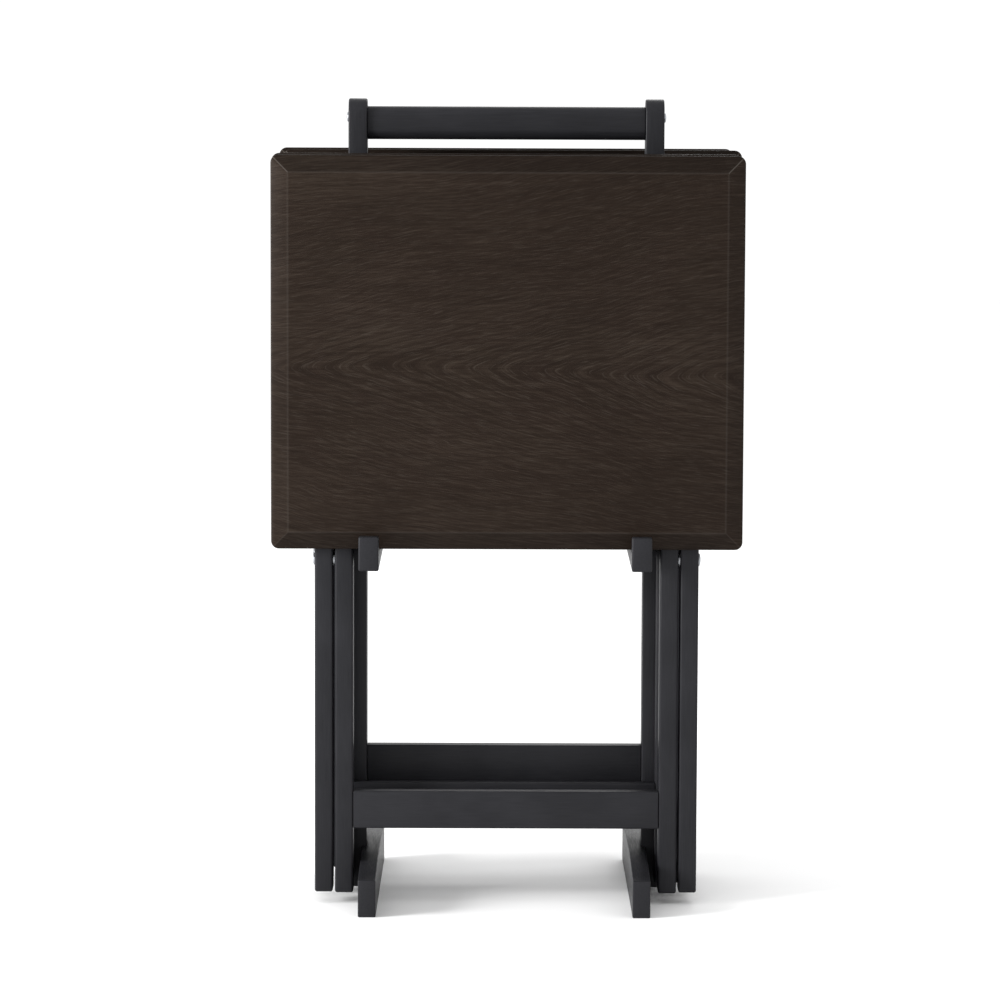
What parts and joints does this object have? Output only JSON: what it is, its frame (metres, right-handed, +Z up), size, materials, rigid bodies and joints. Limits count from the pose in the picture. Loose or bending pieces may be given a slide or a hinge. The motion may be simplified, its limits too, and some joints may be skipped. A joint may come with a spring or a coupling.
{
  "type": "folding tray table set on a storage stand",
  "caption": "Folding tray tables hung folded on a wooden storage stand with a carrying handle and lipped arms; each tray lifts off, and the outer trays' hinged tops swing level.",
  "frame": {"origin": "on the floor, midway between the stand's posts and feet", "axes": "+X to the right along the handle, +Y to the back, +Z up"},
  "size_m": [0.4874, 0.32, 0.827],
  "materials": {
    "paint": "satin charcoal lacquer on solid wood",
    "veneer": "satin very dark brown open-grain veneer, grain along the width",
    "steel": "satin grey steel"
  },
  "bodies": {
    "stand": {"left_post": "paint", "right_post": "paint", "handle": "paint", "stand_rail": "paint", "left_foot": "paint", "right_foot": "paint", "left_arm": "paint", "right_arm": "paint", "handle_screw_left": "steel", "handle_screw_right": "steel"},
    "front_outer_frames": {"front_outer_outer_leg_left": "paint", "front_outer_outer_leg_right": "paint", "front_outer_inner_leg_left": "paint", "front_outer_inner_leg_right": "paint", "front_outer_hinge_dowel": "paint", "front_outer_catch_bar": "paint", "front_outer_lower_rail": "paint", "front_outer_pivot_bolt_left": "steel", "front_outer_pivot_bolt_right": "steel"},
    "front_outer_top_board": {"front_outer_top": "veneer", "front_outer_batten_left": "paint", "front_outer_batten_right": "paint"},
    "front_inner_tray": {"front_inner_top": "veneer", "front_inner_batten_left": "paint", "front_inner_batten_right": "paint", "front_inner_outer_leg_left": "paint", "front_inner_outer_leg_right": "paint", "front_inner_inner_leg_left": "paint", "front_inner_inner_leg_right": "paint", "front_inner_hinge_dowel": "paint", "front_inner_catch_bar": "paint", "front_inner_lower_rail": "paint", "front_inner_pivot_bolt_left": "steel", "front_inner_pivot_bolt_right": "steel"},
    "rear_inner_tray": {"rear_inner_top": "veneer", "rear_inner_batten_left": "paint", "rear_inner_batten_right": "paint", "rear_inner_outer_leg_left": "paint", "rear_inner_outer_leg_right": "paint", "rear_inner_inner_leg_left": "paint", "rear_inner_inner_leg_right": "paint", "rear_inner_hinge_dowel": "paint", "rear_inner_catch_bar": "paint", "rear_inner_lower_rail": "paint", "rear_inner_pivot_bolt_left": "steel", "rear_inner_pivot_bolt_right": "steel"},
    "rear_outer_frames": {"rear_outer_outer_leg_left": "paint", "rear_outer_outer_leg_right": "paint", "rear_outer_inner_leg_left": "paint", "rear_outer_inner_leg_right": "paint", "rear_outer_hinge_dowel": "paint", "rear_outer_catch_bar": "paint", "rear_outer_lower_rail": "paint", "rear_outer_pivot_bolt_left": "steel", "rear_outer_pivot_bolt_right": "steel"},
    "rear_outer_top_board": {"rear_outer_top": "veneer", "rear_outer_batten_left": "paint", "rear_outer_batten_right": "paint"}
  },
  "joints": [
    {"name": "front_outer_take_off", "type": "slide", "parent": "stand", "child": "front_outer_frames", "axis": [0, -0.2763, 0.9611], "range_m": [0, 0.832]},
    {"name": "front_outer_top_swing", "type": "hinge", "parent": "front_outer_frames", "child": "front_outer_top_board", "pos_m": [0, -0.083, 0.75], "axis": [-1, 0, 0], "range_deg": [0, 90]},
    {"name": "front_inner_lift", "type": "slide", "parent": "stand", "child": "front_inner_tray", "axis": [0, 0, 1], "range_m": [0, 0.2]},
    {"name": "rear_outer_take_off", "type": "slide", "parent": "stand", "child": "rear_outer_frames", "axis": [0, 0.2763, 0.9611], "range_m": [0, 0.832]},
    {"name": "rear_outer_top_swing", "type": "hinge", "parent": "rear_outer_frames", "child": "rear_outer_top_board", "pos_m": [0, 0.083, 0.7566], "axis": [1, 0, 0], "range_deg": [0, 90]},
    {"name": "rear_inner_lift", "type": "slide", "parent": "stand", "child": "rear_inner_tray", "axis": [0, 0, 1], "range_m": [0, 0.2]}
  ],
  "couplings": [
    {"joint": "front_outer_top_swing", "follows": "front_outer_take_off", "rad_per_m": 1.885},
    {"joint": "rear_outer_top_swing", "follows": "rear_outer_take_off", "rad_per_m": 1.885}
  ]
}
